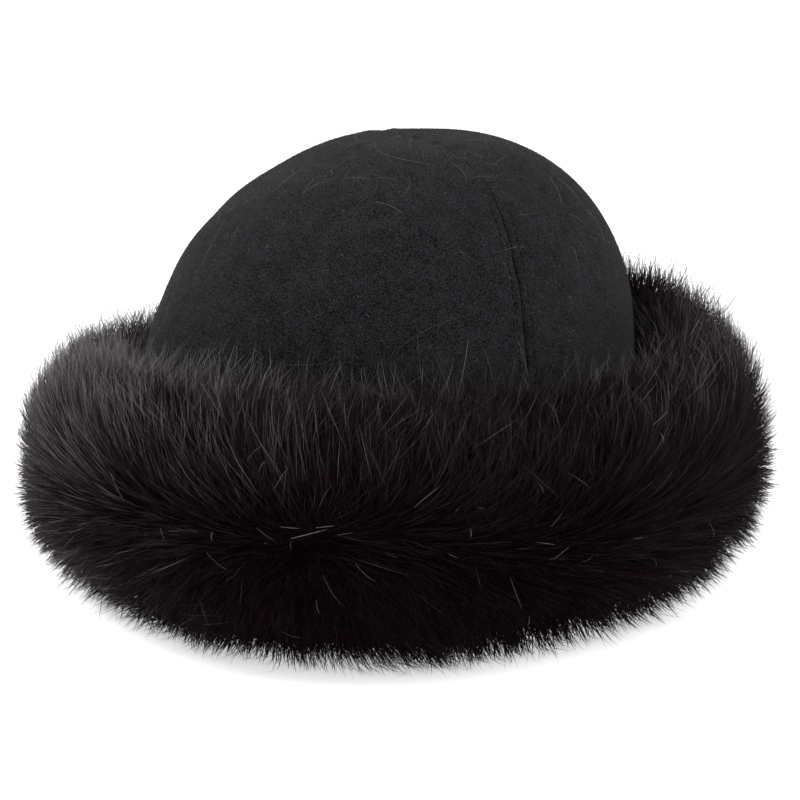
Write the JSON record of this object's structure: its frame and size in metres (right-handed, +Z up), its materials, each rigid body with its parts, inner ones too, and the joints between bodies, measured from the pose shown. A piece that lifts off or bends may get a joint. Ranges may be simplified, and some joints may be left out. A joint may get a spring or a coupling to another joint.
{
  "type": "fur hat",
  "caption": "Winter hat with a domed wool crown in two panels and a deep fur cuff turned up all round it.",
  "frame": {"origin": "middle of the hat's outline seen from above, on the surface the hat rests on", "axes": "+Z up through the crown, -Y the front of the hat, +X the wearer's left"},
  "size_m": [0.2736, 0.2946, 0.1757],
  "materials": {
    "wool_cloth": "matt charcoal wool melton with a short nap",
    "fur": "long brown-black fur, soft and slightly glossy"
  },
  "bodies": {
    "root": {"crown_front_panel": "wool_cloth", "crown_back_panel": "wool_cloth", "fur_cuff": "fur"}
  },
  "joints": []
}
